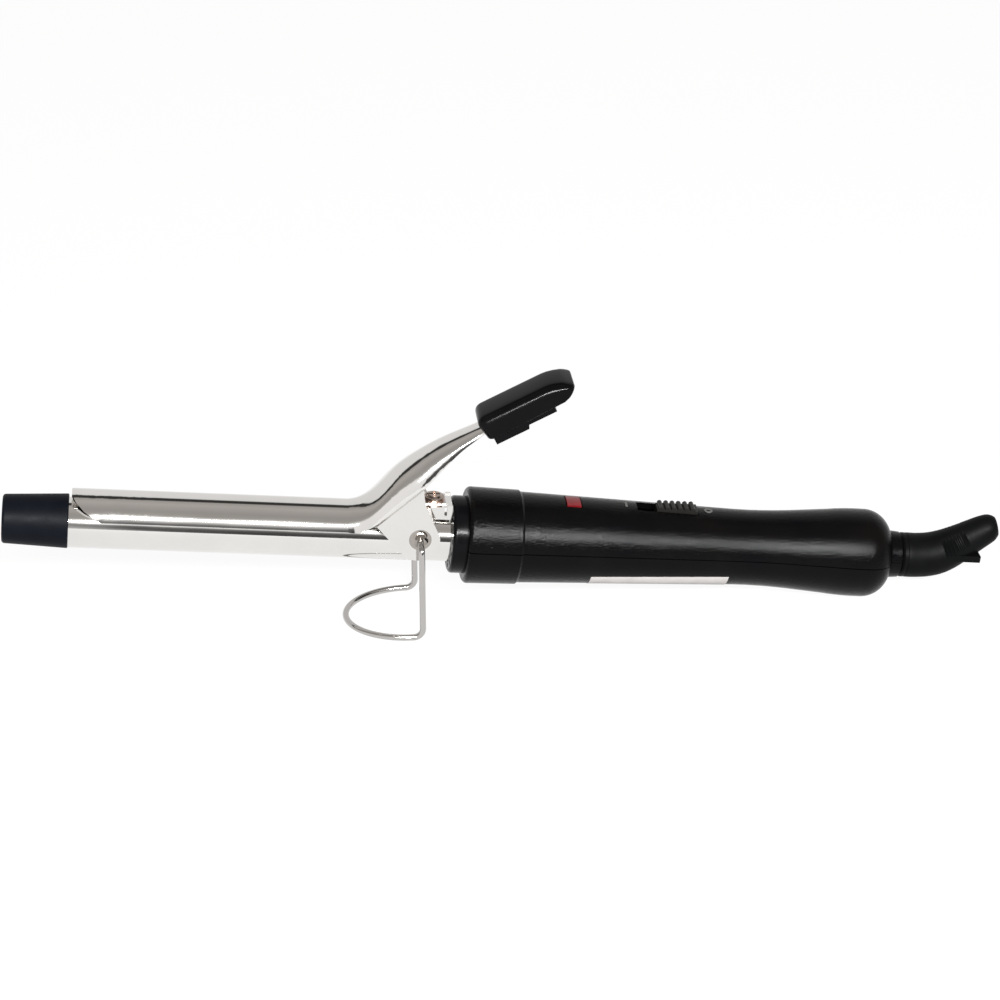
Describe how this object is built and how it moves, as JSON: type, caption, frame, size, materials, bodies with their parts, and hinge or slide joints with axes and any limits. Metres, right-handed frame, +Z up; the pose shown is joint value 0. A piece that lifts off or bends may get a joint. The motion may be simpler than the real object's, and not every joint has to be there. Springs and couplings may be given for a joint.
{
  "type": "curling iron",
  "caption": "Barrel curling iron with a sprung hair clamp, a fold-down wire rest, a round grip with a slide switch and lamp, and a swivelling cord boot.",
  "frame": {"origin": "on the table plane, under the middle of the bounding box", "axes": "+X from the barrel's tip towards the cord end; +Y across the iron; +Z up. The iron stands on its wire rest and its grip, with the tip end raised."},
  "size_m": [0.3186, 0.0344, 0.0834],
  "materials": {
    "chrome_plate": "bright plated, mirror smooth",
    "tip_black": "satin, heat resistant moulding",
    "ring_black": "satin moulding",
    "grip_black": "fine moulded grain",
    "thumb_black": "polished",
    "knob_black": "satin, ribbed",
    "boot_rubber": "matt",
    "swivel_black": "satin",
    "lens_red": "clear red, polished",
    "spring_steel": "rolled strip",
    "screw_steel": "darkened by heat",
    "fastener_steel": "zinc plated",
    "washer_copper": "satin",
    "spreader_aluminium": "extruded",
    "contact_brass": "bright",
    "film_amber": "amber film",
    "chip_ceramic": "sintered",
    "lead_sleeve": "woven glass sleeve",
    "holder_phenolic": "moulded",
    "housing_white": "moulded",
    "lamp_glass": "clear",
    "resistor_tan": "lacquered",
    "fuse_case": "lacquered",
    "wire_insulation": "satin"
  },
  "bodies": {
    "iron": {"tip_cap": "tip_black", "barrel_tube": "chrome_plate", "upper_heat_spreader": "spreader_aluminium", "lower_heat_spreader": "spreader_aluminium", "insulating_film": "film_amber", "upper_contact_plate": "contact_brass", "lower_contact_plate": "contact_brass", "heater_chips": "chip_ceramic", "heater_leads": "lead_sleeve", "leaf_spring": "spring_steel", "saddle_bracket": "chrome_plate", "saddle_spacer": "fastener_steel", "saddle_washer": "washer_copper", "saddle_screw": "screw_steel", "left_pivot_eyelet": "chrome_plate", "right_pivot_eyelet": "chrome_plate", "front_ring": "ring_black", "upper_handle_shell": "grip_black", "lower_handle_shell": "grip_black", "handle_screws": "fastener_steel", "barrel_holder": "holder_phenolic", "switch_housing": "housing_white", "switch_terminals": "contact_brass", "indicator_lens": "lens_red", "glow_lamp": "lamp_glass", "series_resistor": "resistor_tan", "thermal_fuse": "fuse_case", "mains_wires": "wire_insulation", "contact_brushes": "contact_brass"},
    "clamp": {"clamp_plate": "chrome_plate", "hinge_bracket": "chrome_plate", "thumb_rest_cover": "thumb_black", "thumb_rest_clip": "ring_black", "thumb_rest_rivets": "fastener_steel"},
    "stand": {"wire_rest": "chrome_plate"},
    "switch": {"switch_knob": "knob_black"},
    "swivel": {"swivel_rotor": "swivel_black", "slip_rings": "contact_brass", "cord_boot": "boot_rubber"}
  },
  "joints": [
    {"name": "clamp_pivot", "type": "hinge", "parent": "iron", "child": "clamp", "pos_m": [-0.02934, 0, 0.03283], "axis": [0, 1, 0], "range_deg": [0, 30], "stiffness_Nm_per_rad": 0.35, "springref_deg": -20.05, "deforming": ["leaf_spring"]},
    {"name": "stand_pivot", "type": "hinge", "parent": "iron", "child": "stand", "pos_m": [-0.02934, 0, 0.03283], "axis": [0, 1, 0], "range_deg": [-60, 36]},
    {"name": "switch_slide", "type": "slide", "parent": "iron", "child": "switch", "axis": [0.9941, 0, -0.1089], "range_m": [-0.006, 0]},
    {"name": "cord_swivel", "type": "hinge", "parent": "iron", "child": "swivel", "pos_m": [0.12644, 0, 0.01288], "axis": [0.9941, 0, -0.1089], "continuous": true}
  ]
}
